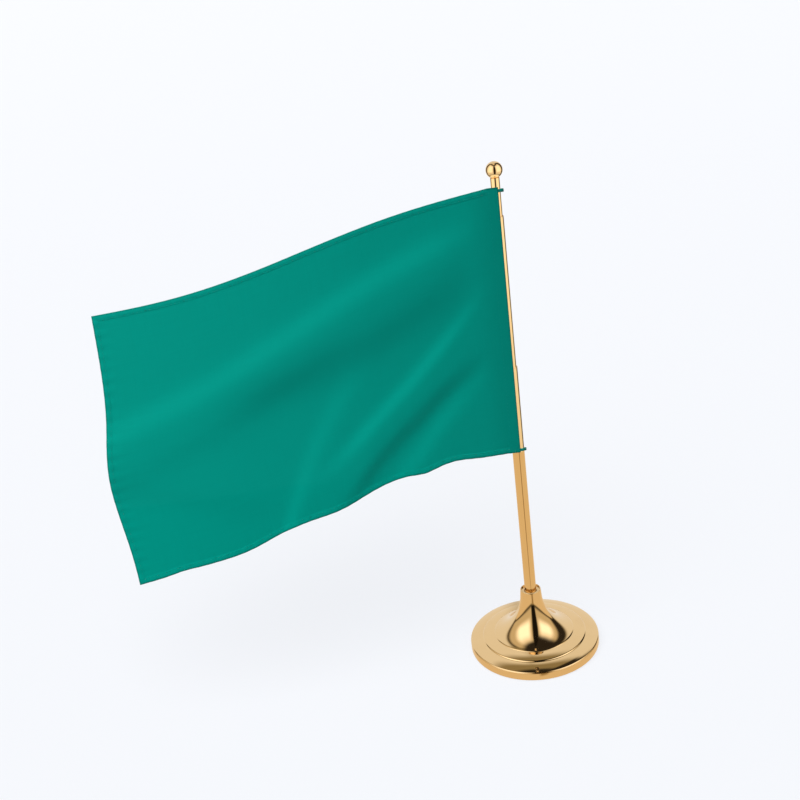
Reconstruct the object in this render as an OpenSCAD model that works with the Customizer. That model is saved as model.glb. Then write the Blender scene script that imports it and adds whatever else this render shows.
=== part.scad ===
// Desk flag stand: a weighted brass base, a three-stage telescopic pole with a ball
// finial, and a small flag that hangs on the pole by two loops.
// Origin: centre of the underside of the base, on the pole's axis. +Z is up, and the
// flag hangs on the -X side of the pole.

/* [Base] */
// Diameter of the base
base_d = 79; // [77:0.5:84]
// Height of the straight side of the base
side_top_z = 5.6; // [5.2:0.1:6]
// Sheet thickness of the spun cover
cover_t = 0.8; // [0.6:0.1:0.9]
// Thickness of the pad under the base
pad_t = 1.5; // [1:0.1:2]
// Height of the open mouth of the cover's neck
mouth_z = 39.4; // [38.5:0.1:42]
// Outer radius of that mouth
mouth_r = 6.2; // [6.1:0.1:6.4]

/* [Pole] */
// Diameter of the lowest tube
pole_d = 7; // [6.6:0.1:7.2]
// Difference in diameter between one tube and the next
tube_step = 1; // [0.98:0.01:1.04]
// Wall thickness of the tubes
tube_wall = 0.3; // [0.26:0.01:0.34]
// Height of the lowest tube's mouth
lower_top_z = 186.6; // [180:0.5:195]
// Height of the middle tube's mouth
middle_top_z = 273.8; // [268:0.5:275]
// Height of the upper tube's top end
upper_top_z = 294.6; // [293:0.5:300]
// Diameter of the ball finial
ball_d = 9.1; // [8.6:0.1:10]

/* [Flag] */
// Distance from the hoist to the upper fly corner, measured level
flag_l = 228.7; // [220:0.1:236]
// Height of the flag along the hoist
flag_h = 155.7; // [150:0.1:158]
// Height of the flag's lower hoist corner
flag_z = 134.5; // [133:0.1:136]
// Thickness of the cloth
cloth_t = 0.8; // [0.6:0.1:0.9]
// Depth of the deepest fold
fold_depth = 2; // [1:0.1:3]

/* [Hidden] */
$fn = 96;

brass = [0.83, 0.66, 0.38];
iron = [0.25, 0.25, 0.27];
steel = [0.6, 0.6, 0.62];
felt = [0.1, 0.1, 0.1];
teal = [0.0, 0.42, 0.37];
cut = 1;                       // how far a cutter runs past the solid that it cuts
play = 0.05;                   // radial clearance of a running fit

// Cover of the base
base_r = base_d / 2;
bell_foot_r = 24.3;            // the bell ends in a small step here
bell_foot_z = 10.15;
bell_arc_r = 27.55;            // hollow flare of the bell
bell_axis_z = 35.9;            // height at which the flare is upright
step_h = 0.1;                  // height of the step under the bell
ring_r = 31.7;                 // outer edge of the ring round the bell
ring_low_z = 8.45;             // the ring falls to this height at that edge
ring_arc_r = 19;
flange_z = 8.1;                // inner edge of the flange outside that ring
flange_arc_r = 24;
edge_h = 0.3;                  // upright edge of the flange, above the side
lap_w = 0.7;                   // lap that centres the cover inside the rim
lap_h = 1.4;
lap_gap = 0.1;
neck_r = mouth_r - 0.5;        // bore of the neck
neck_low_z = bell_axis_z - 3;  // the neck tapers from here up to the mouth
neck_taper = 0.42;
ledge_z = 35.9;                // ledge in the neck, which the socket pulls down
ledge_t = 1;
ledge_r = 4.8;

// Rim, weight and pad
rim_foot_z = 0.5;
rim_w = 2.2;
rim_chamfer = 0.5;
seam_chamfer = 0.15;
lip_r = 33;                    // inner edge of the lip that the weight stands on
pad_r = 31.5;
weight_gap = 0.3;
weight_low_z = 3.8;
weight_mid_r = 35.4;
weight_mid_z = 5.6;
weight_top_r = 29.5;
weight_top_z = 7.4;
boss_r = 12;
boss_z = 15;
pocket_r = 9;                  // pocket under the weight for the washer and the nut
pocket_z = 6;

// Socket, washer and nut
stud_r = 3;
stud_gap = 0.2;
stud_past_nut = 0.3;
washer_r = 7.5;
washer_t = 1;
nut_flats = 10;                // distance across the nut's flats
nut_h = 2.8;
socket_r = 4.6;
collar_t = 1.5;
collar_gap = 0.1;
shoulder_gap = 0.3;
foot_z = 17;                   // the pole stands on the socket's floor here
lead_in = 0.4;

// Pole
lower_r = pole_d / 2;
middle_r = lower_r - tube_step / 2;
upper_r = middle_r - tube_step / 2;
mouth_h = 1.6;                 // drawn-in mouth of each outer tube
mouth_round = 0.3;
plug_h = 5;
plug_lip = 1;
sleeve_h = 8;                  // friction sleeve on the foot of each inner tube
middle_foot_z = 107;
upper_foot_z = 128;
insert_h = 6;
insert_gap = 0.1;
finial_stud_r = 1;
stud_in_ball = 4;
stud_in_insert = 5;
ball_r = ball_d / 2;
seat_gap = 0.01;
// The ball sits on the inner rim of the upper tube, and dips into it by ball_dip.
ball_drop = sqrt(pow(ball_r, 2) - pow(upper_r - tube_wall, 2));
ball_z = upper_top_z + ball_drop + seat_gap;
ball_dip = ball_r - ball_drop;

// Flag: u runs from the hoist to the fly, and v from the top edge to the bottom edge.
hoist_x = 1;                   // the hoist edge passes in front of the pole
hoist_y = -4.2;
hoist_w = 6;
flag_top_z = flag_z + flag_h;
bottom_shift = 2;              // the lower fly corner hangs this much nearer the pole
fly_bow = 2;                   // the fly edge bulges outwards, most of all low down
fly_low_bow = 4;
fly_y_top = 0;
fly_y_bottom = -30;
fly_drop_top = 46.5;
fly_drop_bottom = 46;
top_wave = 2.6;                // S-shaped wave along the top and bottom edges
bottom_wave = 4.2;
top_rise = -1;                 // single arch along the same edges
bottom_rise = 3.2;
grid_u = 36;
grid_v = 20;
// Each fold is a rounded ridge or trough that fans out from the hoist:
// [v at the hoist, slope, u where it begins, depth as a share of fold_depth,
//  half width at the hoist, growth of that width]. A negative depth comes forward.
folds = [
    [0.13, 0.28, 0, -1, 0.07, 0.04],
    [0.28, 0.62, 0, 0.9, 0.08, 0.03],
    [0.43, 1.00, 0, -0.9, 0.055, 0],
    [0.62, 1.10, 0, 0.9, 0.06, 0],
    [0.32, 0.80, 0.28, -0.7, 0.06, 0.02],
    [0.76, 1.00, 0.08, -0.5, 0.06, 0]
];
fold_start = 0.14;             // distance over which a fold grows to its full depth

loop_t = 0.6;
loop_h = 2.2;
loop_top_r = 3.7;              // inner radii of the two loops
loop_bottom_r = 4.3;
top_loop_inset = 0.9;          // from the flag's corners
bottom_loop_inset = 0.3;
seam_gap = 0.02;

// ---- Base ----

// Centre of the circle of radius r through p and q, below the line from p to q.
function arc_centre(p, q, r) =
    let (d = q - p, half = norm(d) / 2)
    (p + q) / 2 + [d.y, -d.x] / norm(d) * sqrt(r * r - half * half);

// Half section of the cover's outer shape, moved inwards by t and with its foot at z.
module cover_section(t, z) {
    bell_x = bell_foot_r + sqrt(pow(bell_arc_r, 2) - pow(bell_axis_z - bell_foot_z, 2));
    ring_z = bell_foot_z - step_h;
    ring_centre = arc_centre([bell_foot_r, ring_z], [ring_r, ring_low_z], ring_arc_r);
    flange_centre = arc_centre([ring_r, flange_z], [base_r, side_top_z + edge_h], flange_arc_r);
    difference() {
        polygon([[0, z], [bell_foot_r - t, z], [bell_foot_r - t, neck_low_z],
                 [mouth_r + neck_taper - t, neck_low_z], [mouth_r - t, mouth_z], [0, mouth_z]]);
        translate([bell_x, bell_axis_z]) circle(r = bell_arc_r + t, $fn = 240);
    }
    intersection() {
        translate([0, z]) square([ring_r - t, bell_foot_z - z]);
        translate(ring_centre) circle(r = ring_arc_r - t, $fn = 240);
    }
    intersection() {
        translate([0, z]) square([base_r - t, bell_foot_z - z]);
        translate(flange_centre) circle(r = flange_arc_r - t, $fn = 240);
    }
}

module base_cover() {
    lap_r = base_r - rim_w - lap_gap;
    color(brass) rotate_extrude() {
        difference() {
            cover_section(0, side_top_z);
            intersection() {
                cover_section(cover_t, side_top_z - cut);
                square([base_r, ledge_z]);
            }
            translate([0, ledge_z - cut]) square([ledge_r, ledge_t + cut * 2]);
            translate([0, ledge_z + ledge_t]) square([neck_r, mouth_z]);
        }
        translate([lap_r - lap_w, side_top_z - lap_h]) square([lap_w, lap_h + cover_t * 0.9]);
    }
}

module base_rim() {
    inner = base_r - rim_w;
    color(brass) rotate_extrude() polygon([
        [lip_r, rim_foot_z], [base_r - rim_chamfer, rim_foot_z],
        [base_r, rim_foot_z + rim_chamfer], [base_r, side_top_z - seam_chamfer],
        [base_r - seam_chamfer, side_top_z], [inner, side_top_z],
        [inner, pad_t], [lip_r, pad_t]
    ]);
}

module base_weight() {
    low_r = base_r - rim_w - weight_gap;
    color(iron) rotate_extrude() polygon([
        [pocket_r, pad_t], [low_r, pad_t], [low_r, weight_low_z],
        [weight_mid_r, weight_low_z], [weight_mid_r, weight_mid_z],
        [weight_top_r, weight_mid_z], [weight_top_r, weight_top_z],
        [boss_r, weight_top_z], [boss_r, boss_z],
        [stud_r + stud_gap, boss_z], [stud_r + stud_gap, pocket_z], [pocket_r, pocket_z]
    ]);
}

module base_pad() {
    color(felt) cylinder(r = pad_r, h = pad_t);
}

module pole_socket() {
    collar_r = neck_r - collar_gap;
    collar_z = ledge_z + ledge_t;
    top = collar_z + collar_t;
    shoulder_z = boss_z + shoulder_gap;
    stud_z = pocket_z - washer_t - nut_h - stud_past_nut;
    bore_r = lower_r + play;
    color(brass) rotate_extrude() polygon([
        [0, stud_z], [stud_r, stud_z], [stud_r, shoulder_z], [socket_r, shoulder_z],
        [socket_r, collar_z], [collar_r, collar_z], [collar_r, top],
        [bore_r + lead_in, top], [bore_r, top - lead_in], [bore_r, foot_z], [0, foot_z]
    ]);
}

module clamp_washer() {
    color(steel) translate([0, 0, pocket_z - washer_t]) difference() {
        cylinder(r = washer_r, h = washer_t);
        translate([0, 0, -cut]) cylinder(r = stud_r + stud_gap, h = washer_t + cut * 2);
    }
}

module clamp_nut() {
    color(steel) translate([0, 0, pocket_z - washer_t - nut_h]) difference() {
        cylinder(r = nut_flats / 2 / cos(30), h = nut_h, $fn = 6);
        translate([0, 0, -cut]) cylinder(r = stud_r, h = nut_h + cut * 2);
    }
}

// ---- Pole ----

// Tube from z0 to z1. With mouth true its top is drawn in to guide the next tube.
module tube(r, z0, z1, mouth) {
    inner = r - tube_wall;
    guide = mouth ? r - tube_step / 2 + play : inner;
    rotate_extrude() polygon([
        [inner, z0], [r, z0], [r, z1 - mouth_round], [r - mouth_round / 3, z1 - mouth_round / 3],
        [r - mouth_round, z1], [guide, z1], [guide, z1 - mouth_h], [inner, z1 - mouth_h]
    ]);
}

// Friction sleeve: a ring on the foot of an inner tube, which runs in the outer one.
module friction_sleeve(tube_r, z) {
    outer = tube_r + tube_step / 2 - tube_wall - play;
    translate([0, 0, z]) difference() {
        cylinder(r = outer, h = sleeve_h);
        translate([0, 0, -cut]) cylinder(r = tube_r, h = sleeve_h + cut * 2);
    }
}

module foot_plug() {
    color(steel) rotate_extrude() polygon([
        [0, foot_z], [lower_r - lead_in, foot_z], [lower_r, foot_z + lead_in],
        [lower_r, foot_z + plug_lip], [lower_r - tube_wall, foot_z + plug_lip],
        [lower_r - tube_wall, foot_z + plug_h], [0, foot_z + plug_h]
    ]);
}

module lower_tube() {
    color(brass) tube(lower_r, foot_z + plug_lip, lower_top_z, true);
}

module middle_tube() {
    color(brass) tube(middle_r, middle_foot_z, middle_top_z, true);
}

module middle_sleeve() {
    color(brass) friction_sleeve(middle_r, middle_foot_z);
}

module upper_tube() {
    color(brass) tube(upper_r, upper_foot_z, upper_top_z, false);
}

module upper_sleeve() {
    color(brass) friction_sleeve(upper_r, upper_foot_z);
}

module top_insert() {
    top = upper_top_z - ball_dip - insert_gap;
    color(brass) translate([0, 0, top - insert_h]) difference() {
        cylinder(r = upper_r - tube_wall, h = insert_h);
        translate([0, 0, -cut]) cylinder(r = finial_stud_r + play, h = insert_h + cut * 2);
    }
}

module finial_stud() {
    color(steel) translate([0, 0, ball_z - ball_r - stud_in_insert])
        cylinder(r = finial_stud_r, h = stud_in_insert + stud_in_ball);
}

module finial_ball() {
    color(brass) translate([0, 0, ball_z]) difference() {
        sphere(r = ball_r);
        translate([0, 0, -ball_r - cut]) cylinder(r = finial_stud_r, h = cut + stud_in_ball);
    }
}

// ---- Flag ----

// How far fold f moves the cloth at (u, v).
function fold_at(f, u, v) =
    let (grown = 1 - exp(-pow(max(0, u - f[2]) / fold_start, 2)),
         away = (v - f[0] - f[1] * u) / (f[4] + f[5] * u))
    f[3] * fold_depth * grown * exp(-away * away);

function fold_sum(u, v, i = 0) =
    i == len(folds) ? 0 : fold_at(folds[i], u, v) + fold_sum(u, v, i + 1);

function mix(a, b, t) = a * (1 - t) + b * t;

// Point of the cloth's middle surface.
function cloth_point(u, v) = [
    hoist_x - hoist_w - u * (flag_l - hoist_w - bottom_shift * v
        + (fly_bow + fly_low_bow * v) * sin(180 * v)),
    hoist_y + u * (mix(fly_y_top, fly_y_bottom, v) - hoist_y) + fold_sum(u, v),
    flag_top_z - v * flag_h - u * mix(fly_drop_top, fly_drop_bottom, v)
        + mix(top_wave, bottom_wave, v) * sin(360 * u)
        + mix(top_rise, bottom_rise, v) * sin(180 * u)
];

module flag_cloth() {
    row = grid_v + 1;
    back = row * (grid_u + 1);
    points = [for (side = [-1, 1]) for (i = [0:grid_u]) for (j = [0:grid_v])
        cloth_point(i / grid_u, j / grid_v) + [0, side * cloth_t / 2, 0]];
    at = function (i, j) i * row + j;
    faces = [
        for (i = [0:grid_u - 1]) for (j = [0:grid_v - 1])
            let (a = at(i, j), b = at(i + 1, j), c = at(i + 1, j + 1), d = at(i, j + 1))
            each [[a, d, c], [a, c, b],
                  [back + a, back + b, back + c], [back + a, back + c, back + d]],
        for (i = [0:grid_u - 1])
            let (a = at(i, 0), b = at(i + 1, 0), c = at(i + 1, grid_v), d = at(i, grid_v))
            each [[a, b, back + b], [a, back + b, back + a],
                  [c, d, back + d], [c, back + d, back + c]],
        for (j = [0:grid_v - 1])
            let (a = at(0, j), d = at(0, j + 1), b = at(grid_u, j), c = at(grid_u, j + 1))
            each [[d, a, back + a], [d, back + a, back + d],
                  [b, c, back + c], [b, back + c, back + b]]
    ];
    color(teal) polyhedron(points, faces);
}

module hoist_band() {
    color(teal) translate([hoist_x - hoist_w, hoist_y - cloth_t / 2, flag_z])
        cube([hoist_w, cloth_t, flag_h]);
}

// Ribbon loop round the pole. Its two ends meet the edge and the back of the hoist band.
module ribbon_loop(inner, z) {
    color(teal) translate([0, 0, z]) difference() {
        cylinder(r = inner + loop_t, h = loop_h);
        translate([0, 0, -cut]) cylinder(r = inner, h = loop_h + cut * 2);
        translate([hoist_x + seam_gap - inner * 2, hoist_y + cloth_t / 2 + seam_gap - inner * 2, -cut])
            cube([inner * 2, inner * 2, loop_h + cut * 2]);
    }
}

module top_loop() {
    ribbon_loop(loop_top_r, flag_top_z - top_loop_inset - loop_h);
}

module bottom_loop() {
    ribbon_loop(loop_bottom_r, flag_z + bottom_loop_inset);
}

base_cover();
base_rim();
base_weight();
base_pad();
pole_socket();
clamp_washer();
clamp_nut();
foot_plug();
lower_tube();
middle_tube();
middle_sleeve();
upper_tube();
upper_sleeve();
top_insert();
finial_stud();
finial_ball();
flag_cloth();
hoist_band();
top_loop();
bottom_loop();
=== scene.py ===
# Desk flag stand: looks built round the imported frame. The frame, the camera and the
# materials are in metres; the shapes of the pieces are given in millimetres.
from math import atan2, cos, erf, exp, hypot, pi, radians, sin, sqrt

import bpy
from mathutils import Matrix, Vector


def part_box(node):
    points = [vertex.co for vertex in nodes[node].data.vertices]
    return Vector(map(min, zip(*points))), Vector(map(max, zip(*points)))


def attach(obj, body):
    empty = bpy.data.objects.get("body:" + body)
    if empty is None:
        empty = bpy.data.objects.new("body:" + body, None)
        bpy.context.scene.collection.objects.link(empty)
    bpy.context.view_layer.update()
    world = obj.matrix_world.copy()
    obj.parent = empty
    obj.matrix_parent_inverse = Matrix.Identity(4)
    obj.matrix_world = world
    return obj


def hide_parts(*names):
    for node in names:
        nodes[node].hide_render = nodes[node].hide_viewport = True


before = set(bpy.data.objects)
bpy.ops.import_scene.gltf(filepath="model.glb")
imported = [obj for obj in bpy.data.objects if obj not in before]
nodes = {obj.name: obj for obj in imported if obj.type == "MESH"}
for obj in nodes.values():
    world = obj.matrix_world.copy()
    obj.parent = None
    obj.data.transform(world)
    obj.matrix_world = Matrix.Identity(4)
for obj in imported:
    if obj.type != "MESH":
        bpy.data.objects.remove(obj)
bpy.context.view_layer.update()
mm = 0.001


def deselectAll():
    bpy.ops.object.select_all(action="DESELECT")


def makeActive(piece):
    deselectAll()
    piece.select_set(True)
    bpy.context.view_layer.objects.active = piece


def smooth(piece, angle=40):
    makeActive(piece)
    bpy.ops.object.shade_smooth_by_angle(angle=radians(angle))


def top(node):
    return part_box(node)[1].z / mm


def bottom(node):
    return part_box(node)[0].z / mm


def radius(node):
    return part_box(node)[1].x / mm


def blend(start, end, share):
    return start * (1 - share) + end * share


def between(start, end, size, steps, hollow=False):
    # arc from start to end in the (radius, height) plane; hollow puts its centre above
    start, end = Vector(start), Vector(end)
    chord = end - start
    across = Vector((chord.y, -chord.x)).normalized()
    if hollow:
        across = -across
    centre = (start + end) / 2 + across * sqrt(size ** 2 - (chord.length / 2) ** 2)
    first, last = start - centre, end - centre
    turn = first.angle_signed(last)          # clockwise is positive
    return [tuple(centre + Matrix.Rotation(-turn * i / steps, 2) @ first) for i in range(steps + 1)]


latheStart, weldGap = 0.01, 1e-7       # size of the plane that becomes the first point


def lathe(name, profile, steps, ring=False):
    # turns a line of (radius, height) points about the pole's axis; ring closes the line
    deselectAll()
    bpy.ops.mesh.primitive_plane_add(size=latheStart, location=(0, 0, 0))
    piece = bpy.context.object
    piece.name = name
    bpy.ops.object.mode_set(mode="EDIT")
    bpy.ops.mesh.select_all(action="SELECT")
    bpy.ops.mesh.merge(type="CENTER")
    last = (0, 0)
    for number, point in enumerate(profile):
        step = Vector((point[0] - last[0], 0, point[1] - last[1])) * mm
        if number == 0:
            bpy.ops.transform.translate(value=step)
        else:
            bpy.ops.mesh.extrude_vertices_move(TRANSFORM_OT_translate={"value": step})
        last = point
    bpy.ops.mesh.select_all(action="SELECT")
    if ring:
        bpy.ops.mesh.edge_face_add()
        bpy.ops.mesh.delete(type="ONLY_FACE")
        bpy.ops.mesh.select_all(action="SELECT")
    bpy.ops.mesh.spin(steps=steps, angle=2 * pi, center=(0, 0, 0), axis=(0, 0, 1))
    bpy.ops.mesh.select_all(action="SELECT")
    bpy.ops.mesh.remove_doubles(threshold=weldGap)
    bpy.ops.mesh.normals_make_consistent(inside=False)
    bpy.ops.object.mode_set(mode="OBJECT")
    smooth(piece)
    return piece


def place(piece, body, slot, material, *replaced):
    piece.data.materials.clear()
    piece.data.materials.append(material)
    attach(piece, body)
    if replaced:
        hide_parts(*replaced)


cameraView = {
    "place": (-0.0365, -0.6273, 0.4445),
    "tilt": 66.66,             # degrees up from straight down
    "turn": 2.55,              # degrees to the left of straight ahead
    "roll": -7.3,
    "lens": 54.1,
    "sensor": 36,
    "near": 0.01,
}


def buildCamera():
    data = bpy.data.cameras.new("camera")
    data.lens = cameraView["lens"]
    data.sensor_width = cameraView["sensor"]
    data.clip_start = cameraView["near"]
    camera = bpy.data.objects.new("camera", data)
    bpy.context.scene.collection.objects.link(camera)
    camera.matrix_world = (
        Matrix.Translation(cameraView["place"])
        @ Matrix.Rotation(radians(cameraView["turn"]), 4, "Z")
        @ Matrix.Rotation(radians(cameraView["tilt"]), 4, "X")
        @ Matrix.Rotation(radians(cameraView["roll"]), 4, "Z")
    )
    bpy.context.scene.camera = camera


def newMaterial(name, colour, **values):
    # a material whose shader's own sockets hold what is the same all over
    material = bpy.data.materials.new(name)
    material.use_nodes = True
    material.diffuse_color = (*colour, 1)
    tree = material.node_tree
    shader = tree.nodes["Principled BSDF"]
    shader.inputs["Base Color"].default_value = (*colour, 1)
    for socket, value in values.items():
        shader.inputs[socket.replace("_", " ")].default_value = value
    return material, tree, shader


# the table glows by itself for the camera, so shadows on it stay faint
tableLook = {
    "size": 60,
    "colour": (0.10, 0.101, 0.104),
    "glow": (0.740, 0.757, 0.792),
    "rough": 0.8,
    "shine": 0.2,
}


def buildTable():
    deselectAll()
    bpy.ops.mesh.primitive_plane_add(size=tableLook["size"], location=(0, 0, 0))
    table = bpy.context.object
    table.name = "floor"
    material, tree, shader = newMaterial(
        "paleTable", tableLook["colour"],
        Roughness=tableLook["rough"], Specular_IOR_Level=tableLook["shine"],
    )
    shader.inputs["Emission Color"].default_value = (*tableLook["glow"], 1)
    rays = tree.nodes.new("ShaderNodeLightPath")
    tree.links.new(rays.outputs["Is Camera Ray"], shader.inputs["Emission Strength"])
    table.data.materials.append(material)
    table.visible_glossy = False       # the room's patches below hold the table too


# The room as the brass mirrors it, painted one patch over another. Each patch is from, to
# (degrees round from the front, to the right), low, high (degrees above the table), the
# width of its soft edge and its colour.
roomShade = (0.32, 0.27, 0.16)
roomPatches = {
    "leftWall": (-181, -128, -25, 58, 6, (0.93, 0.92, 0.90)),
    "rightWall": (132, 181, -25, 58, 6, (0.93, 0.92, 0.90)),
    "ceiling": (-181, 181, 74, 120, 4, (0.03, 0.025, 0.02)),
    "frontCeiling": (-100, 140, 56, 120, 4, (0.03, 0.025, 0.02)),
    "table": (-181, 181, -120, -22, 4, (0.88, 0.72, 0.50)),
    "tableGap": (1, 15, -34, -20, 4, (0.40, 0.28, 0.13)),
    "leftShadow": (-126, -10, -20, 66, 4, (0.03, 0.025, 0.02)),
    "rightShadow": (10, 130, -20, 66, 4, (0.03, 0.025, 0.02)),
    "leftBox": (-120, -12, -14, 74, 6, (0.72, 0.62, 0.45)),
    "leftBoxMiddle": (-92, -26, 18, 66, 14, (1.7, 1.7, 1.7)),
    "rightBox": (20, 108, -14, 60, 6, (0.72, 0.62, 0.45)),
    "rightBoxMiddle": (32, 90, 18, 56, 14, (1.7, 1.7, 1.7)),
    "gap": (-10, 19, -18, 90, 4, (0.012, 0.010, 0.008)),
}
# what the ball and the upper tubes mirror instead
highPatches = {
    "walls": (-181, 181, -90, 78, 6, (0.93, 0.92, 0.90)),
    "table": (-181, 181, -120, -56, 4, (1.35, 1.25, 1.0)),
    "shadow": (-140, 144, -53, 84, 5, (0.05, 0.038, 0.02)),
    "leftBox": (-114, -12, -48, 66, 7, (0.95, 0.90, 0.78)),
    "leftBoxMiddle": (-92, -26, -20, 54, 12, (1.6, 1.55, 1.45)),
    "rightBox": (18, 108, -48, 62, 7, (1.0, 0.96, 0.85)),
    "rightBoxMiddle": (30, 90, -20, 50, 12, (1.6, 1.55, 1.45)),
    "gap": (-10, 16, -50, 70, 4, (0.03, 0.02, 0.01)),
    "lamp": (-181, 181, 80, 120, 5, (1.0, 0.86, 0.62)),
}
# the low edges of the room climb by slope from start to end (degrees round), then fade;
# patches above level (degrees up) stay where they are
roomSkew = {"start": 5, "slope": 0.26, "end": 115, "fade": (120, 140), "level": 50}
highLine = 0.134               # metres above the table where the second set takes over
evenLight = 0.25


def mathNode(tree, operation, *inputs):
    node = tree.nodes.new("ShaderNodeMath")
    node.operation = operation
    for socket, value in zip(node.inputs, inputs):
        if isinstance(value, (int, float)):
            socket.default_value = value
        else:
            tree.links.new(value, socket)
    return node.outputs[0]


# the Mix node's colour sockets share their names with others, so they go by number
mixSockets = {"under": 6, "over": 7, "result": 2}


def mixNode(tree, share, under, over, kind="MIX"):
    node = tree.nodes.new("ShaderNodeMix")
    node.data_type = "RGBA"
    node.blend_type = kind
    sockets = ("Factor", mixSockets["under"], mixSockets["over"])
    for socket, value in zip((node.inputs[key] for key in sockets), (share, under, over)):
        if isinstance(value, tuple):
            socket.default_value = (*value, 1)
        elif isinstance(value, (int, float)):
            socket.default_value = value
        else:
            tree.links.new(value, socket)
    return node.outputs[mixSockets["result"]]


def stepNode(tree, value, middle, edge):
    # soft step from 0 to 1 about the middle
    node = tree.nodes.new("ShaderNodeMapRange")
    node.interpolation_type = "SMOOTHSTEP"
    node.inputs["From Min"].default_value = middle - edge
    node.inputs["From Max"].default_value = middle + edge
    tree.links.new(value, node.inputs["Value"])
    return node.outputs["Result"]


def windowNode(tree, value, low, high, edge):
    # 1 from low to high, 0 outside
    above = stepNode(tree, value, low, edge)
    return mathNode(tree, "SUBTRACT", above, stepNode(tree, value, high, edge))


def skewNode(tree, around, above, skew):
    # heights with the low edges' climb towards the sides taken off
    beyond = mathNode(tree, "ABSOLUTE", around)
    climb = mathNode(tree, "SUBTRACT", beyond, skew["start"])
    climb = mathNode(tree, "MAXIMUM", climb, 0.0)
    climb = mathNode(tree, "MINIMUM", climb, skew["end"] - skew["start"])
    climb = mathNode(tree, "MULTIPLY", climb, skew["slope"])
    first, last = skew["fade"]
    faded = stepNode(tree, beyond, (first + last) / 2, (last - first) / 2)
    climb = mathNode(tree, "MULTIPLY", climb, mathNode(tree, "SUBTRACT", 1.0, faded))
    share = mathNode(tree, "DIVIDE", above, skew["level"])
    share = mathNode(tree, "SUBTRACT", 1.0, share)
    share = mathNode(tree, "MINIMUM", mathNode(tree, "MAXIMUM", share, 0.0), 1.0)
    return mathNode(tree, "SUBTRACT", above, mathNode(tree, "MULTIPLY", climb, share))


def paintPatches(tree, direction, patches, skew=None):
    # the colour seen in this direction, which points away from the stand
    parts = tree.nodes.new("ShaderNodeSeparateXYZ")
    tree.links.new(direction, parts.inputs[0])
    front = mathNode(tree, "MULTIPLY", parts.outputs["Y"], -1.0)
    around = mathNode(tree, "DEGREES", mathNode(tree, "ARCTAN2", parts.outputs["X"], front))
    above = mathNode(tree, "DEGREES", mathNode(tree, "ARCSINE", parts.outputs["Z"]))
    if skew:
        above = skewNode(tree, around, above, skew)
    shade = roomShade
    for start, end, low, high, edge, colour in patches.values():
        wide = windowNode(tree, around, start, end, edge)
        tall = windowNode(tree, above, low, high, edge)
        shade = mixNode(tree, mathNode(tree, "MULTIPLY", wide, tall), shade, colour)
    return shade


def buildRoom():
    world = bpy.data.worlds.new("studioRoom")
    bpy.context.scene.world = world
    world.use_nodes = True
    tree = world.node_tree
    direction = tree.nodes.new("ShaderNodeTexCoord").outputs["Generated"]
    shade = paintPatches(tree, direction, roomPatches, roomSkew)
    # the brass mirrors these patches; cloth and table get an even light from all round
    rays = tree.nodes.new("ShaderNodeLightPath")
    colour = mixNode(tree, rays.outputs["Is Glossy Ray"], (evenLight,) * 3, shade)
    tree.links.new(colour, tree.nodes["Background"].inputs["Color"])


domeShape = {"radius": 3, "segments": 48, "rings": 24}


def buildDome():
    # a shell that only mirror rays from high up on the stand meet
    deselectAll()
    bpy.ops.mesh.primitive_uv_sphere_add(
        radius=domeShape["radius"], segments=domeShape["segments"],
        ring_count=domeShape["rings"], location=(0, 0, 0),
    )
    dome = bpy.context.object
    dome.name = "highRoom"
    material = bpy.data.materials.new("highRoomShell")
    material.use_nodes = True
    tree = material.node_tree
    tree.nodes.remove(tree.nodes["Principled BSDF"])
    surface = tree.nodes.new("ShaderNodeNewGeometry")
    away = tree.nodes.new("ShaderNodeVectorMath")
    away.operation = "SCALE"
    away.inputs["Scale"].default_value = -1.0
    tree.links.new(surface.outputs["Incoming"], away.inputs[0])
    glow = tree.nodes.new("ShaderNodeEmission")
    tree.links.new(paintPatches(tree, away.outputs[0], highPatches), glow.inputs["Color"])
    spot = tree.nodes.new("ShaderNodeSeparateXYZ")
    tree.links.new(surface.outputs["Position"], spot.inputs[0])
    back = tree.nodes.new("ShaderNodeSeparateXYZ")
    tree.links.new(surface.outputs["Incoming"], back.inputs[0])
    rays = tree.nodes.new("ShaderNodeLightPath")
    # height of the point that the ray comes from
    start = mathNode(tree, "MULTIPLY_ADD", back.outputs["Z"], rays.outputs["Ray Length"],
                     spot.outputs["Z"])
    mix = tree.nodes.new("ShaderNodeMixShader")
    clear = tree.nodes.new("ShaderNodeBsdfTransparent")
    tree.links.new(mathNode(tree, "GREATER_THAN", start, highLine), mix.inputs[0])
    tree.links.new(clear.outputs[0], mix.inputs[1])
    tree.links.new(glow.outputs[0], mix.inputs[2])
    tree.links.new(mix.outputs[0], tree.nodes["Material Output"].inputs["Surface"])
    dome.data.materials.append(material)
    for kind in ("camera", "diffuse", "transmission", "volume_scatter", "shadow"):
        setattr(dome, "visible_" + kind, False)


skyLight = {"strength": 5.4, "angle": 60, "from": (-0.20, -0.42, 0.885)}


def buildLight():
    data = bpy.data.lights.new("broadLight", "SUN")
    data.energy = skyLight["strength"]
    data.angle = radians(skyLight["angle"])
    light = bpy.data.objects.new("broadLight", data)
    bpy.context.scene.collection.objects.link(light)
    light.rotation_euler = Vector(skyLight["from"]).to_track_quat("Z", "Y").to_euler()
    light.visible_glossy = False


buildCamera()
buildTable()
buildRoom()
buildDome()
buildLight()
bpy.context.scene.view_settings.view_transform = "Standard"
print("camera, table and light are in place")


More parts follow.
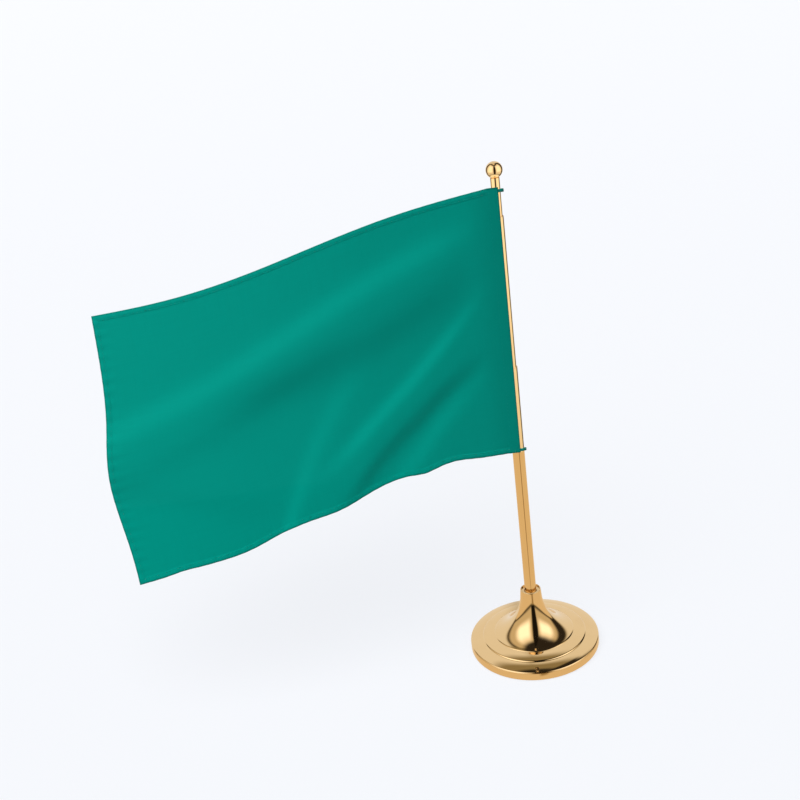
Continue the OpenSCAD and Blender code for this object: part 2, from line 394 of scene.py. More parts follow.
def newGroup(name, inputs, outputs):
    # inputs and outputs map a socket's name to its kind or to its starting value
    group = bpy.data.node_groups.new(name, "ShaderNodeTree")
    for label, value in inputs.items():
        kind = "NodeSocketColor" if isinstance(value, tuple) else "NodeSocketFloat"
        socket = group.interface.new_socket(name=label, in_out="INPUT", socket_type=kind)
        socket.default_value = (*value, 1) if isinstance(value, tuple) else value
    for label, kind in outputs.items():
        group.interface.new_socket(name=label, in_out="OUTPUT", socket_type=kind)
    return group, group.nodes.new("NodeGroupInput"), group.nodes.new("NodeGroupOutput")


def noiseNode(tree, vector, scale, detail=2.0, stretch=None):
    if stretch:
        mapping = tree.nodes.new("ShaderNodeMapping")
        mapping.inputs["Scale"].default_value = stretch
        tree.links.new(vector, mapping.inputs["Vector"])
        vector = mapping.outputs["Vector"]
    node = tree.nodes.new("ShaderNodeTexNoise")
    node.inputs["Detail"].default_value = detail
    if isinstance(scale, (int, float)):
        node.inputs["Scale"].default_value = scale
    else:
        tree.links.new(scale, node.inputs["Scale"])
    tree.links.new(vector, node.inputs["Vector"])
    return node.outputs["Fac"]


def rangeNode(tree, value, fromLow, fromHigh, toLow=0.0, toHigh=1.0):
    node = tree.nodes.new("ShaderNodeMapRange")
    ends = {"From Min": fromLow, "From Max": fromHigh, "To Min": toLow, "To Max": toHigh}
    for label, number in ends.items():
        node.inputs[label].default_value = number
    tree.links.new(value, node.inputs["Value"])
    return node.outputs["Result"]


polishLook = {
    "cloudScale": 60, "cloudDetail": 3, "cloudRange": (0.52, 0.75),
    "speckScale": 900, "speckRange": (0.70, 0.78),
    "lineStretch": (40, 40, 2600),
    "wornShare": 0.5,
    "rough": 0.055, "smudgeRough": 0.10, "speckRough": 0.05,
}


def buildPolish():
    # hand-polished metal: faint turning lines, cloudy smudges and a few fine marks
    look = polishLook
    group, given, made = newGroup(
        "polish",
        {"Clean": (0.8, 0.57, 0.29), "Worn": (0.6, 0.4, 0.18), "Lines": 0.5, "Smudges": 0.5},
        {"Color": "NodeSocketColor", "Roughness": "NodeSocketFloat",
         "Height": "NodeSocketFloat"},
    )
    spot = group.nodes.new("ShaderNodeTexCoord").outputs["Object"]
    clouds = noiseNode(group, spot, look["cloudScale"], look["cloudDetail"])
    clouds = rangeNode(group, clouds, *look["cloudRange"])
    smudges = mathNode(group, "MULTIPLY", clouds, given.outputs["Smudges"])
    specks = rangeNode(group, noiseNode(group, spot, look["speckScale"]), *look["speckRange"])
    lines = noiseNode(group, spot, 1, stretch=look["lineStretch"])
    share = mathNode(group, "MULTIPLY", smudges, look["wornShare"])
    colour = mixNode(group, share, given.outputs["Clean"], given.outputs["Worn"])
    rough = mathNode(group, "MULTIPLY_ADD", smudges, look["smudgeRough"], look["rough"])
    rough = mathNode(group, "MULTIPLY_ADD", specks, look["speckRough"], rough)
    height = mathNode(group, "MULTIPLY", lines, given.outputs["Lines"])
    group.links.new(colour, made.inputs["Color"])
    group.links.new(rough, made.inputs["Roughness"])
    group.links.new(height, made.inputs["Height"])
    return group


grainLook = {
    "fineDetail": 3, "fineShare": 0.4,
    "coarseRatio": 7.0, "coarseShare": 0.6,
    "pitRange": (0.35, 0.62),
}


def buildGrain():
    # cast or pressed surface: grains of two sizes, and the colour between them
    look = grainLook
    group, given, made = newGroup(
        "grain",
        {"Face": (0.1, 0.1, 0.1), "Pits": (0.03, 0.03, 0.03), "Scale": 700.0},
        {"Color": "NodeSocketColor", "Height": "NodeSocketFloat"},
    )
    spot = group.nodes.new("ShaderNodeTexCoord").outputs["Object"]
    fine = noiseNode(group, spot, given.outputs["Scale"], look["fineDetail"])
    scale = mathNode(group, "DIVIDE", given.outputs["Scale"], look["coarseRatio"])
    coarse = noiseNode(group, spot, scale)
    both = mathNode(group, "MULTIPLY", fine, look["fineShare"])
    both = mathNode(group, "MULTIPLY_ADD", coarse, look["coarseShare"], both)
    share = rangeNode(group, both, *look["pitRange"])
    colour = mixNode(group, share, given.outputs["Pits"], given.outputs["Face"])
    group.links.new(colour, made.inputs["Color"])
    group.links.new(both, made.inputs["Height"])
    return group


weaveLook = {
    "slubStretch": ((40, 900, 1), (900, 40, 1)), "slubRange": (0.7, 1.3),
    # painted shade in the gaps between threads
    "gapShade": 0.18,
    "rough": (0.50, 0.42),             # at a slub, and on the even cloth
}


def buildWeave():
    # threads over and under each other on the piece's own UV map, which is in metres
    look = weaveLook
    group, given, made = newGroup(
        "weave",
        {"Thread": (0.0, 0.23, 0.18), "Shade": (0.0, 0.15, 0.12), "Threads": 3200.0,
         "Slub": 0.5},
        {"Color": "NodeSocketColor", "Height": "NodeSocketFloat",
         "Roughness": "NodeSocketFloat"},
    )
    spot = group.nodes.new("ShaderNodeTexCoord").outputs["UV"]
    parts = group.nodes.new("ShaderNodeSeparateXYZ")
    group.links.new(spot, parts.inputs[0])
    humps, cells = [], []
    for label in ("X", "Y"):
        run = mathNode(group, "MULTIPLY", parts.outputs[label], given.outputs["Threads"])
        wave = mathNode(group, "SINE", mathNode(group, "MULTIPLY", run, pi))
        humps.append(mathNode(group, "ABSOLUTE", wave))
        cells.append(mathNode(group, "FLOOR", run))
    over = mathNode(group, "FLOORED_MODULO", mathNode(group, "ADD", *cells), 2.0)
    height = mixNode(group, over, *humps)
    slubs = [noiseNode(group, spot, 1, stretch=stretch) for stretch in look["slubStretch"]]
    slubs = rangeNode(group, mathNode(group, "ADD", *slubs), *look["slubRange"])
    share = mathNode(group, "SUBTRACT", 1.0, slubs)
    share = mathNode(group, "MULTIPLY", share, given.outputs["Slub"])
    # the colour leans to Shade at slubs, the thread's own tone, and as painted shade in the gaps
    # between threads
    gaps = mathNode(group, "SUBTRACT", 1.0, height)
    share = mathNode(group, "MULTIPLY_ADD", gaps, look["gapShade"], share)
    colour = mixNode(group, share, given.outputs["Thread"], given.outputs["Shade"])
    rough = rangeNode(group, slubs, 0.0, 1.0, *look["rough"])
    group.links.new(colour, made.inputs["Color"])
    group.links.new(height, made.inputs["Height"])
    group.links.new(rough, made.inputs["Roughness"])
    return group


polish, grain, weave = buildPolish(), buildGrain(), buildWeave()
print("shader groups are built")


def addGroup(tree, group, **values):
    node = tree.nodes.new("ShaderNodeGroup")
    node.node_tree = group
    for label, value in values.items():
        node.inputs[label].default_value = (*value, 1) if isinstance(value, tuple) else value
    return node


def addBump(tree, shader, height, strength, distance):
    bump = tree.nodes.new("ShaderNodeBump")
    bump.inputs["Strength"].default_value = strength
    bump.inputs["Distance"].default_value = distance
    tree.links.new(height, bump.inputs["Height"])
    tree.links.new(bump.outputs["Normal"], shader.inputs["Normal"])


bumpDepth = {"metal": 0.0001, "grain": 0.0004, "weave": 0.00008}


def polishedMetal(name, clean, worn, lines=0.5, smudges=0.4, bump=0.02):
    material, tree, shader = newMaterial(name, clean, Metallic=1.0)
    made = addGroup(tree, polish, Clean=clean, Worn=worn, Lines=lines, Smudges=smudges)
    tree.links.new(made.outputs["Color"], shader.inputs["Base Color"])
    tree.links.new(made.outputs["Roughness"], shader.inputs["Roughness"])
    addBump(tree, shader, made.outputs["Height"], bump, bumpDepth["metal"])
    return material


def grainyMaterial(name, face, pits, scale, roughness, bump, **values):
    material, tree, shader = newMaterial(name, face, Roughness=roughness, **values)
    made = addGroup(tree, grain, Face=face, Pits=pits, Scale=scale)
    tree.links.new(made.outputs["Color"], shader.inputs["Base Color"])
    addBump(tree, shader, made.outputs["Height"], bump, bumpDepth["grain"])
    return material


def wovenMaterial(name, face, shade, threads, slub, bump, **values):
    material, tree, shader = newMaterial(name, face, **values)
    made = addGroup(tree, weave, Thread=face, Shade=shade, Threads=threads, Slub=slub)
    tree.links.new(made.outputs["Color"], shader.inputs["Base Color"])
    tree.links.new(made.outputs["Roughness"], shader.inputs["Roughness"])
    addBump(tree, shader, made.outputs["Height"], bump, bumpDepth["weave"])
    return material


brass = polishedMetal("polishedBrass", (0.81, 0.575, 0.30), (0.70, 0.46, 0.21))
tubeBrass = polishedMetal("drawnBrass", (0.80, 0.56, 0.28), (0.66, 0.43, 0.19),
                          lines=0.15, smudges=0.3)
turnedBrass = polishedMetal("turnedBrass", (0.74, 0.52, 0.27), (0.50, 0.33, 0.15),
                            lines=1.0, smudges=0.8, bump=0.12)
springBrass = polishedMetal("springBrass", (0.62, 0.44, 0.22), (0.40, 0.27, 0.12),
                            lines=0.8, smudges=1.0, bump=0.1)
zinc = polishedMetal("zincSteel", (0.60, 0.61, 0.63), (0.42, 0.43, 0.45),
                     lines=0.9, smudges=1.0, bump=0.15)
iron = grainyMaterial("castIron", (0.055, 0.055, 0.06), (0.02, 0.02, 0.022),
                      scale=900.0, roughness=0.62, bump=0.6, Metallic=0.6)
felt = grainyMaterial("blackFelt", (0.022, 0.022, 0.024), (0.008, 0.008, 0.009),
                      scale=2600.0, roughness=0.95, bump=0.9,
                      Sheen_Weight=0.5, Sheen_Roughness=0.5)
cloth = wovenMaterial("satinCloth", (0.0, 0.236, 0.186), (0.0, 0.150, 0.120),
                      threads=3000.0, slub=0.10, bump=0.25,
                      Specular_IOR_Level=0.12, Specular_Tint=(0.25, 1.0, 0.85, 1),
                      Sheen_Weight=0.06, Sheen_Roughness=0.4, Sheen_Tint=(0.2, 0.9, 0.75, 1))
ribbon = wovenMaterial("satinRibbon", (0.0, 0.20, 0.16), (0.0, 0.11, 0.09),
                       threads=2600.0, slub=0.15, bump=0.5, Specular_IOR_Level=0.12)
thread = wovenMaterial("sewingThread", (0.0, 0.225, 0.178), (0.0, 0.160, 0.128),
                       threads=6000.0, slub=0.1, bump=0.3, Specular_IOR_Level=0.15)
print("materials are built")


coverShape = {
    "bore": 5.7, "floor": 36.9, "lip": 0.25, "outerMouth": 6.2,    # open mouth of the neck
    "neckRings": (0.03, 0.10, 0.35, 0.70),           # close rings keep its shading straight
    "neckEnd": 33.5,                                 # the straight taper meets the bell here
    "bellRadius": 27.55, "bellCentre": (34.09, 35.9), "bellFoot": 10.15,
    "bellSteps": 56, "bellEase": 0.8,                # rings get closer towards the neck
    "crease": (24.36, 10.05),
    "wall": 0.8,
    "underEdge": [(39.25, 5.6), (37.3, 5.6), (37.2, 4.3), (36.6, 4.3), (36.5, 6.0)],
    "underRing": [(31.5, 8.28), (30.5, 8.75), (24.2, 10.0)],       # the wall comes off these
    "underBell": (11, 12.5, 15, 18, 22, 26, 30, 33),
    "socket": [(5.9, 35.8), (4.8, 35.9), (4.8, 36.9)],
    "turns": 192,
}
# arcs from the crease out to the edge: start, end, radius, steps
coverArcs = {
    "ring": ((24.46, 10.02), (30.9, 8.75), 37.0, 14),
    "shoulder": ((30.9, 8.75), (31.6, 8.28), 1.55, 10),
    "fillet": ((31.6, 8.28), (32.1, 8.02), 0.87, 6),
    "flange": ((32.1, 8.02), (38.9, 6.1), 27.8, 14),
    "edge": ((38.9, 6.1), (39.42, 5.64), 1.03, 10),
}


def bellPoint(height, inset=0.0):
    # a point of the bell's hollow flare at this height
    centre, size = coverShape["bellCentre"], coverShape["bellRadius"] + inset
    return (centre[0] - sqrt(size ** 2 - (height - centre[1]) ** 2), height)


def buildCover():
    shape = coverShape
    bore, lip, steps = shape["bore"], shape["lip"], shape["bellSteps"]
    mouth = (shape["outerMouth"], top("base_cover") - lip)
    neck = bellPoint(shape["neckEnd"])
    outside = [(bore, shape["floor"]), (bore, mouth[1])]
    outside += between((bore, mouth[1]), mouth, lip, 8)[1:]
    for share in shape["neckRings"]:
        outside.append((blend(mouth[0], neck[0], share), blend(mouth[1], neck[1], share)))
    for step in range(steps + 1):
        fall = (step / steps) ** shape["bellEase"]
        outside.append(bellPoint(shape["neckEnd"] + (shape["bellFoot"] - shape["neckEnd"]) * fall))
    outside.append(shape["crease"])
    for name, arc in coverArcs.items():
        outside += between(*arc, hollow=name == "fillet")[0 if name == "ring" else 1:]
    # underside, from the edge back to the mouth
    inside = list(shape["underEdge"])
    inside += [(across, height - shape["wall"]) for across, height in shape["underRing"]]
    inside += [bellPoint(height, shape["wall"]) for height in shape["underBell"]]
    inside += shape["socket"]
    return lathe("brass_cover", outside + inside, shape["turns"], ring=True)


rimShape = {
    "depth": 2.2, "seam": 0.05,                      # the rim's top sits under the cover
    "topIn": 0.35, "topDown": 0.45, "topRadius": 0.42,
    "foot": 0.6, "footRadius": 0.62,
    "inner": 33.0, "step": 1.5,
    "turns": 192,
}


def buildRim():
    shape = rimShape
    outer, low, high = radius("base_rim"), bottom("base_rim"), top("base_rim")
    lid = (outer - shape["topIn"], high - shape["seam"])
    section = [(outer - shape["depth"], high - shape["seam"]), lid]
    section += between(lid, (outer, high - shape["topDown"]), shape["topRadius"], 6)[1:]
    section += between((outer, low + shape["foot"]), (outer - shape["foot"], low),
                       shape["footRadius"], 8)
    section += [(shape["inner"], low), (shape["inner"], shape["step"]),
                (outer - shape["depth"], shape["step"])]
    return lathe("brass_rim", section, shape["turns"], ring=True)


padShape = {
    "middle": 0.5,                                   # share of the radius
    "lowEdge": [(0.45, 0.0), (0.18, 0.08), (0.05, 0.28), (0, 0.6)],    # in from the side, up
    "topEdge": [(0.02, 0.1), (0.12, 0)],             # in from the side, down from the top
    "turns": 128,
}


def buildPad():
    size, high = radius("base_pad"), top("base_pad")
    section = [(0, 0.0), (size * padShape["middle"], 0.0)]
    section += [(size - inset, height) for inset, height in padShape["lowEdge"]]
    section += [(size - inset, high - drop) for inset, drop in padShape["topEdge"]]
    section += [(0, high)]
    return lathe("felt_pad", section, padShape["turns"])


place(buildCover(), "base", "polished_brass", brass, "base_cover")
place(buildRim(), "base", "polished_brass", brass, "base_rim")
place(buildPad(), "base", "black_felt", felt, "base_pad")
print("base is built")


tubeShape = {
    "wall": 0.3, "chamfer": 0.1,
    "lip": 0.28, "lipStart": 1.7,                    # the open mouth is rolled in
    "step": 0.5, "play": 0.05, "guide": 1.6, "guideEdge": (0.04, 0.05), "guideSlope": 0.3,
    "turns": 96,
}


def buildTube(node, name, mouth):
    # thin drawn tube; an open mouth is rolled in over the next tube
    shape = tubeShape
    outer, low, high = radius(node), bottom(node), top(node)
    inner = outer - shape["wall"]
    lip, chamfer = shape["lip"], shape["chamfer"]
    section = [(inner, low), (outer - chamfer, low), (outer, low + chamfer)]
    if mouth:
        guide = outer - shape["step"] + shape["play"]
        aside, down = shape["guideEdge"]
        section += [(outer, high - shape["lipStart"]), (outer, high - lip)]
        section += between((outer, high - lip), (outer - lip, high), lip, 8)[1:]
        section += [(guide + aside, high), (guide, high - down), (guide, high - shape["guide"])]
        section += [(inner, high - shape["guide"] - shape["guideSlope"])]
    else:
        section += [(outer, high - chamfer), (outer - chamfer, high), (inner, high)]
    return lathe(name, section, shape["turns"], ring=True)


ballShape = {"step": 2, "last": 148, "foot": 2.0, "turns": 128}    # degrees, degrees, mm


def buildBall():
    low, high = bottom("finial_ball"), top("finial_ball")
    size = radius("finial_ball")
    centre = high - size
    section = [(0.0, high)]
    for angle in range(ballShape["step"], ballShape["last"] + 1, ballShape["step"]):
        section.append((size * sin(radians(angle)), centre + size * cos(radians(angle))))
    section += [(ballShape["foot"], low), (0.0, low)]
    return lathe("brass_ball", section, ballShape["turns"])


lowTube = buildTube("lower_tube", "tube_low", True)
lowTube.visible_glossy = False      # keeps the pole's streak out of the base's steps
place(lowTube, "lower_pole", "polished_brass", tubeBrass, "lower_tube")
place(buildTube("middle_tube", "tube_middle", True), "middle_pole", "polished_brass", tubeBrass,
      "middle_tube")
place(buildTube("upper_tube", "tube_high", False), "upper_pole", "polished_brass", tubeBrass,
      "upper_tube")
place(buildBall(), "finial", "polished_brass", brass, "finial_ball")
print("pole and finial are built")


# u runs from the hoist to the fly and v from the top edge to the bottom edge, 0 to 1 each.
flagShape = {
    "flat": (0.160, 0.240),
    "length": 228.7, "shift": 2.0, "bow": 6.6, "bowPlace": 0.61, "bowWidth": 0.24,
    "flyTop": 0.0, "flyBottom": -30.0,           # where the fly corners are, front to back
    "dropTop": 46.5, "dropBottom": 46.0,
    "waveTop": 3.2, "waveBottom": 5.0, "riseTop": -2.6, "riseBottom": 4.6,
    "edgeStart": 0.05,                           # the edge's rises grow from the hoist (u)
    "columns": 180, "rows": 120,
}
# thickness of the cloth and its turned edges, in mm
hemShape = {
    "cloth": 0.26, "hem": 0.52, "width": 3.4, "slope": 0.2, "round": 0.35, "least": 0.05,
    "seam": 2.8, "seamDepth": 0.09, "seamWidth": 0.22,
    "steps": (0, 0.12, 0.35, 2.2, 2.6, 2.8, 3.0, 3.2, 3.4, 3.7), "gap": 0.4,
    "hoistSteps": (0, 0.12, 0.35, 1.0, 2.0, 3.0, 4.0, 5.0, 5.5), "hoistLeast": 0.02,
}
puckerShape = {"height": 0.10, "step": 6.5, "reach": 7.0, "wander": 1.7, "wanderStep": 19}
# bands where the cloth leans: start on the hoist, slope and curve of its line, from and to (u),
# lean (plus faces up), half width (v)
flagBands = [
    (0.105, 0.33, 0.0, 0.00, 1.2, 0.14, 0.050),
    (0.25, 0.85, -0.85, 0.00, 0.66, -0.11, 0.085),
    (0.24, 0.40, 0.0, 0.30, 1.2, -0.05, 0.060),
    (0.30, 1.75, -1.3, 0.00, 0.46, 0.19, 0.035),
    (0.56, 1.00, 0.0, 0.00, 0.46, -0.18, 0.042),
    (0.60, 1.35, 0.0, 0.00, 0.34, 0.12, 0.05),
    (0.644, -1.56, 3.6, 0.30, 0.70, 0.09, 0.060),
    (1.32, -0.70, 0.0, 0.55, 1.2, -0.04, 0.05),
]
bandStart, bandEnd = 0.10, 0.12        # how softly the bands begin and end (u)
# small rises of the bottom edge: place (u), height and half width (u)
edgeRises = [
    (0.14, 1.4, 0.05), (0.225, -1.6, 0.035), (0.45, -3.6, 0.09), (0.71, -2.0, 0.09),
    (0.88, 0.8, 0.04),
]
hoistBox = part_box("hoist_band")
hoist = {
    "left": hoistBox[0].x / mm, "right": hoistBox[1].x / mm,
    "y": (hoistBox[0].y + hoistBox[1].y) / 2 / mm,
    "low": bottom("hoist_band"), "high": top("hoist_band"),
}
hoist["width"] = hoist["right"] - hoist["left"]
clothWidth = flagShape["length"] - hoist["width"]
clothHeight = hoist["high"] - hoist["low"]


def foldDepth(u, v):
    total = 0.0
    for start, slope, curve, begin, end, lean, width in flagBands:
        grown = 1 - exp(-(max(0.0, u - begin) / bandStart) ** 2)
        if end < 1:
            grown *= exp(-(max(0.0, u - end + bandEnd) / bandEnd) ** 2)
        line = start + slope * u + curve * u * u
        total -= grown * lean * width * clothHeight * sqrt(pi) / 2 * erf((v - line) / width)
    return total


def flagPoint(u, v):
    # middle of the cloth in mm; u below 0 is the hoist band, flat in front of the pole
    shape = flagShape
    down = hoist["high"] - v * clothHeight
    if u < 0:
        return Vector((hoist["left"] - u * clothWidth, hoist["y"], down))
    bow = shape["bow"] * exp(-((v - shape["bowPlace"]) / shape["bowWidth"]) ** 2)
    swing = blend(shape["flyTop"], shape["flyBottom"], v) - hoist["y"]
    rise = sum(height * v ** 3 * exp(-((u - spot) / width) ** 2)
               for spot, height, width in edgeRises)
    rise *= 1 - exp(-(u / shape["edgeStart"]) ** 2)
    return Vector((
        hoist["left"] - u * (clothWidth - shape["shift"] * v + bow),
        hoist["y"] + u * swing + foldDepth(u, v),
        down - u * blend(shape["dropTop"], shape["dropBottom"], v)
        + blend(shape["waveTop"], shape["waveBottom"], v) * sin(2 * pi * u)
        + blend(shape["riseTop"], shape["riseBottom"], v) * sin(pi * u) + rise,
    ))


def flagNormal(u, v, step=0.002):
    across = flagPoint(u + step, v) - flagPoint(u - step, v)
    down = flagPoint(u, v + step) - flagPoint(u, v - step)
    return down.cross(across).normalized()       # towards the front


def edgeSteps(length, count, hemStart, hemEnd):
    # even steps with a few close ones where a hem's fold and stitch line need them
    close, gap = hemShape["steps"], hemShape["gap"]
    low = close[-1] if hemStart else 0
    high = length - (close[-1] if hemEnd else 0)
    steps = {round(length * i / count, 4) for i in range(count + 1)}
    steps = {s for s in steps if low + gap < s < high - gap}
    steps |= set(close) if hemStart else {0}
    steps |= {length - c for c in close} if hemEnd else {length}
    return sorted(steps)


def hemHeight(edge):
    # half of the cloth's thickness, at this distance in mm from a hemmed edge
    shape = hemShape
    thin, thick, width, slope = shape["cloth"] / 2, shape["hem"] / 2, shape["width"], shape["slope"]
    if edge > width:
        return thin
    if edge >= width - slope:
        return max(shape["least"], blend(thick, thin, (edge - width + slope) / slope))
    stitch = shape["seamDepth"] * exp(-((edge - shape["seam"]) / shape["seamWidth"]) ** 2)
    rounded = sqrt(max(0.0, 1 - max(0.0, 1 - edge / shape["round"]) ** 2))
    return max(shape["least"], (thick - stitch) * rounded)


def hoistHeight(fromEnd, thick):
    # the same over the hoist band, at this distance in mm from its end at the pole
    if fromEnd >= hoist["width"] + 0.01:
        return thick
    rounded = 1 - max(0.0, 1 - fromEnd / hemShape["round"]) ** 2
    return max(thick, hemShape["hem"] / 2) * sqrt(max(hemShape["hoistLeast"], rounded))


def puckerHeight(edge, along):
    # small gathers beside the hems' seams
    reach = exp(-(edge / puckerShape["reach"]) ** 2)
    wander = puckerShape["wander"] * sin(along / puckerShape["wanderStep"])
    return puckerShape["height"] * reach * sin(2 * pi * along / puckerShape["step"] + wander)


def buildFlag():
    band = [-(hoist["width"] - c) / clothWidth for c in hemShape["hoistSteps"]]
    columns = edgeSteps(clothWidth, flagShape["columns"], False, True)
    columns = band + [c / clothWidth for c in columns]
    rows = [r / clothHeight for r in edgeSteps(clothHeight, flagShape["rows"], True, True)]
    points, uvs = [], []
    for side in (1, -1):
        for u in columns:
            for v in rows:
                toFly = (1 - u) * clothWidth
                edge = min(v * clothHeight, (1 - v) * clothHeight, toFly)
                thick = hoistHeight(hoist["width"] + u * clothWidth, hemHeight(edge))
                lift = side * thick
                if u > 0:
                    along = u * clothWidth if edge != toFly else v * clothHeight
                    lift += puckerHeight(edge, along)
                points.append((flagPoint(u, v) + flagNormal(u, v) * lift) * mm)
                uvs.append(((u * clothWidth + hoist["width"]) * mm, (1 - v) * clothHeight * mm))
    count, half = len(rows), len(columns) * len(rows)
    faces = []
    for i in range(len(columns) - 1):
        for j in range(count - 1):
            a, b = i * count + j, (i + 1) * count + j
            c, d = b + 1, a + 1
            faces += [(a, b, c, d), (d + half, c + half, b + half, a + half)]
    rim = [i * count for i in range(len(columns))]
    rim += [(len(columns) - 1) * count + j for j in range(1, count)]
    rim += [i * count + count - 1 for i in range(len(columns) - 2, -1, -1)]
    rim += [j for j in range(count - 2, 0, -1)]
    for a, b in zip(rim, rim[1:] + rim[:1]):
        faces.append((b, a, a + half, b + half))
    mesh = bpy.data.meshes.new("flag_sheet")
    mesh.from_pydata(points, [], faces)
    layer = mesh.uv_layers.new(name="UVMap")
    for loop in mesh.loops:
        layer.data[loop.index].uv = uvs[loop.vertex_index]
    mesh.validate()
    piece = bpy.data.objects.new("flag_sheet", mesh)
    bpy.context.scene.collection.objects.link(piece)
    makeActive(piece)
    bpy.ops.object.mode_set(mode="EDIT")
    bpy.ops.mesh.select_all(action="SELECT")
    bpy.ops.mesh.normals_make_consistent(inside=False)
    bpy.ops.object.mode_set(mode="OBJECT")
    smooth(piece, 60)
    return piece


stitchShape = {
    "length": 1.7, "step": 2.4, "thick": 0.2, "sink": 0.05,
    "inset": 2.8,                                # from the hemmed edges
    "bandInset": 0.8, "endInset": 1.0,           # from the band's two sides
    "ahead": 0.3,                                # share of a step, to find the direction
}


def buildStitches():
    # one small thread, copied along the hems and the hoist band on both faces
    shape = stitchShape
    deselectAll()
    bpy.ops.mesh.primitive_uv_sphere_add(segments=6, ring_count=5, radius=1, location=(0, 0, 0))
    first = bpy.context.object
    first.scale = (shape["length"] / 2 * mm, shape["thick"] / 2 * mm, shape["thick"] / 2 * mm)
    bpy.ops.object.transform_apply(location=False, rotation=False, scale=True)
    fly, down = 1 - shape["inset"] / clothWidth, shape["inset"] / clothHeight
    seam = -shape["bandInset"] / clothWidth
    end = -(hoist["width"] - shape["endInset"]) / clothWidth
    lines = [
        ((seam, down), (fly, down)),
        ((fly, down), (fly, 1 - down)),
        ((fly, 1 - down), (seam, 1 - down)),
        ((seam, 1 - down / 2), (seam, down / 2)),
        ((end, down / 2), (end, 1 - down / 2)),
    ]
    lift = hemShape["hem"] / 2 - shape["sink"]
    copies = []
    for start, end in lines:
        length = hypot((end[0] - start[0]) * clothWidth, (end[1] - start[1]) * clothHeight)
        count = int(length / shape["step"])
        for number in range(count):
            share = (number + 0.5) / count
            u, v = blend(start[0], end[0], share), blend(start[1], end[1], share)
            ahead = share + shape["ahead"] / count
            here, normal = flagPoint(u, v), flagNormal(u, v)
            forward = flagPoint(blend(start[0], end[0], ahead), blend(start[1], end[1], ahead))
            forward -= here
            forward = (forward - normal * forward.dot(normal)).normalized()
            for face in (1, -1):
                spot = (here + normal * face * lift) * mm
                turn = Matrix((forward, normal.cross(forward), normal)).transposed().to_4x4()
                mesh = first.data.copy()
                mesh.transform(Matrix.Translation(spot) @ turn)
                piece = bpy.data.objects.new("stitch", mesh)
                bpy.context.scene.collection.objects.link(piece)
                copies.append(piece)
    bpy.data.objects.remove(first)
    deselectAll()
    for piece in copies:
        piece.select_set(True)
    bpy.context.view_layer.objects.active = copies[0]
    bpy.ops.object.join()
    piece = bpy.context.object
    piece.name = "hem_stitches"
    smooth(piece, 180)
    return piece


loopShape = {
    "height": 1.8, "thick": 0.34, "tail": 3.4,
    "inset": 0.3,                                # inside the outline of its CAD node
    "seam": (-1.2, 0.6),                         # where it lies flat on the band (x)
    "arc": (-62, 236, 7),                        # degrees round the pole: from, to, step
    "lap": [(0.34, 0.45), (-0.5, 0.38)],         # the end on top of the start: along, off it
}


loopWeld = 1e-6


def buildLoop(node, name, droop):
    # ribbon from the back of the hoist band round the pole and back; it droops behind the pole
    shape = loopShape
    middle = (bottom(node) + top(node)) / 2 * mm
    size = radius(node) - shape["inset"]
    behind = hoist["y"] + hemShape["hem"] / 2 + shape["thick"] / 2
    path = [(x, behind) for x in (-shape["tail"], *shape["seam"])]
    path += [(size * cos(radians(a)), size * sin(radians(a))) for a in range(*shape["arc"])]
    path += [(along - shape["tail"], behind + off) for along, off in shape["lap"]]
    data = bpy.data.curves.new(name, "CURVE")
    data.dimensions = "2D"
    data.extrude = (shape["height"] - shape["thick"]) / 2 * mm
    data.bevel_depth = shape["thick"] / 2 * mm
    data.bevel_resolution = 2
    data.fill_mode = "NONE"
    spline = data.splines.new("POLY")
    spline.points.add(len(path) - 1)
    for point, (x, y) in zip(spline.points, path):
        point.co = (x * mm, y * mm, 0, 1)
    piece = bpy.data.objects.new(name, data)
    bpy.context.scene.collection.objects.link(piece)
    makeActive(piece)
    bpy.ops.object.convert(target="MESH")
    piece = bpy.context.object
    bpy.ops.object.mode_set(mode="EDIT")
    bpy.ops.mesh.select_all(action="SELECT")
    bpy.ops.transform.translate(value=(0, 0, middle))
    bpy.ops.mesh.remove_doubles(threshold=loopWeld)
    bpy.ops.mesh.select_all(action="DESELECT")
    bpy.ops.mesh.select_mode(type="EDGE")
    bpy.ops.mesh.select_non_manifold()
    bpy.ops.mesh.edge_face_add()
    bpy.ops.mesh.select_all(action="SELECT")
    bpy.ops.mesh.normals_make_consistent(inside=False)
    bpy.ops.object.mode_set(mode="OBJECT")
    for vertex in piece.data.vertices:
        vertex.co.z -= max(0.0, vertex.co.y - behind * mm) * droop
    for layer in list(piece.data.uv_layers):
        piece.data.uv_layers.remove(layer)
    layer = piece.data.uv_layers.new(name="UVMap")
    for loop in piece.data.loops:
        spot = piece.data.vertices[loop.vertex_index].co
        layer.data[loop.index].uv = (atan2(spot.x, -spot.y) * size * mm, spot.z)
    smooth(piece, 50)
    return piece


edgeLook = {
    # middle and softness of each darker line's edge in metres, and its share
    # painted shade along the hemmed top, bottom and fly edges
    "hem": (0.0007, 0.0005, 0.55),
    # a wider darker strip by the hoist
    "strip": (0.010, 0.010, 0.30),
    # painted shadow line where the cloth meets the pole
    "poleShadow": (0.0005, 0.0004, 0.5),
    "shade": (0.35, 0.42, 0.42),
}


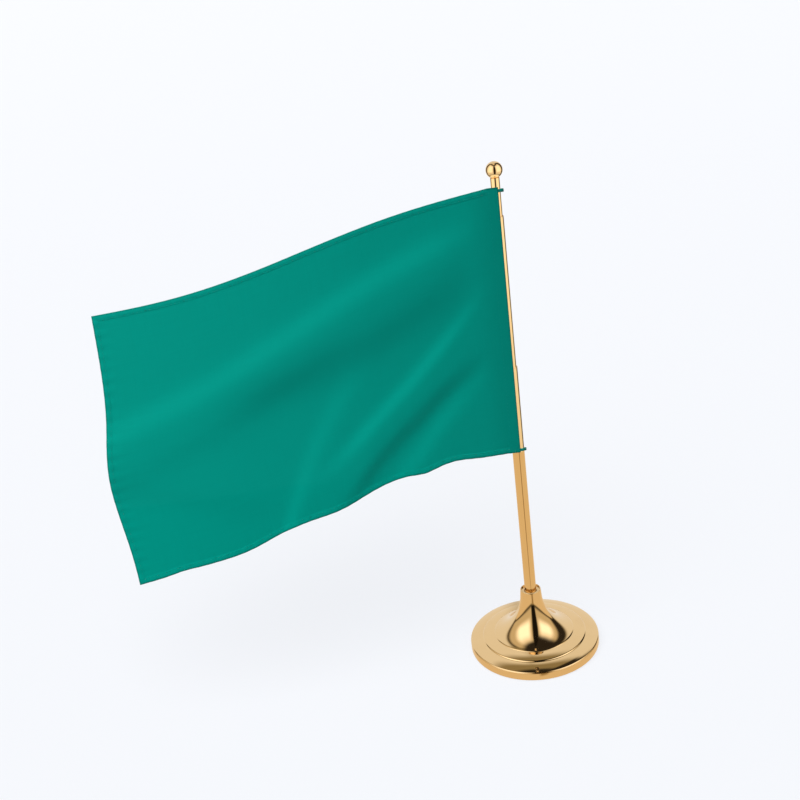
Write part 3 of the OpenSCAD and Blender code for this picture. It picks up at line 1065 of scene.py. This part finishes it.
def darkenEdges(material, width, height):
    # painted shade: a thin darker line along the hemmed top, bottom and fly edges, and a painted
    # shadow line where the cloth meets the pole; the cloth is also darker in a wider strip by the
    # hoist
    tree = material.node_tree
    base = tree.nodes["Principled BSDF"].inputs["Base Color"]
    parts = tree.nodes.new("ShaderNodeSeparateXYZ")
    tree.links.new(tree.nodes.new("ShaderNodeTexCoord").outputs["UV"], parts.inputs[0])
    across, up = parts.outputs["X"], parts.outputs["Y"]
    edge = mathNode(tree, "MINIMUM", up, mathNode(tree, "SUBTRACT", height, up))
    edge = mathNode(tree, "MINIMUM", edge, mathNode(tree, "SUBTRACT", width, across))
    dark = 0.0
    for name, distance in (("hem", edge), ("strip", across), ("poleShadow", across)):
        middle, softness, share = edgeLook[name]
        near = mathNode(tree, "SUBTRACT", 1.0, stepNode(tree, distance, middle, softness))
        dark = mathNode(tree, "MULTIPLY_ADD", near, share, dark)
    dark = mathNode(tree, "MINIMUM", dark, 1.0)
    colour = mixNode(tree, dark, (1.0, 1.0, 1.0), edgeLook["shade"])
    woven = base.links[0].from_socket
    tree.links.new(mixNode(tree, 1.0, woven, colour, kind="MULTIPLY"), base)


darkenEdges(cloth, flagShape["length"] * mm, clothHeight * mm)
flagSheet, hemStitches = buildFlag(), buildStitches()
topRibbon = buildLoop("top_loop", "ribbon_top", droop=0.22)
bottomRibbon = buildLoop("bottom_loop", "ribbon_bottom", droop=0.42)
place(flagSheet, "flag", "satin_cloth", cloth, "flag_cloth", "hoist_band")
place(hemStitches, "flag", "satin_cloth", thread)
place(topRibbon, "flag", "satin_ribbon", ribbon, "top_loop")
place(bottomRibbon, "flag", "satin_ribbon", ribbon, "bottom_loop")
for piece in (flagSheet, hemStitches, topRibbon, bottomRibbon):
    piece.visible_glossy = False
print("flag is built")


# CAD nodes that stay as they are
keptNodes = {
    "pole_socket": turnedBrass, "foot_plug": turnedBrass,
    "top_insert": turnedBrass, "finial_stud": turnedBrass,
    "middle_sleeve": springBrass, "upper_sleeve": springBrass,
    "clamp_washer": zinc, "clamp_nut": zinc,
    "base_weight": iron,
}
for name, material in keptNodes.items():
    nodes[name].data.materials.clear()
    nodes[name].data.materials.append(material)
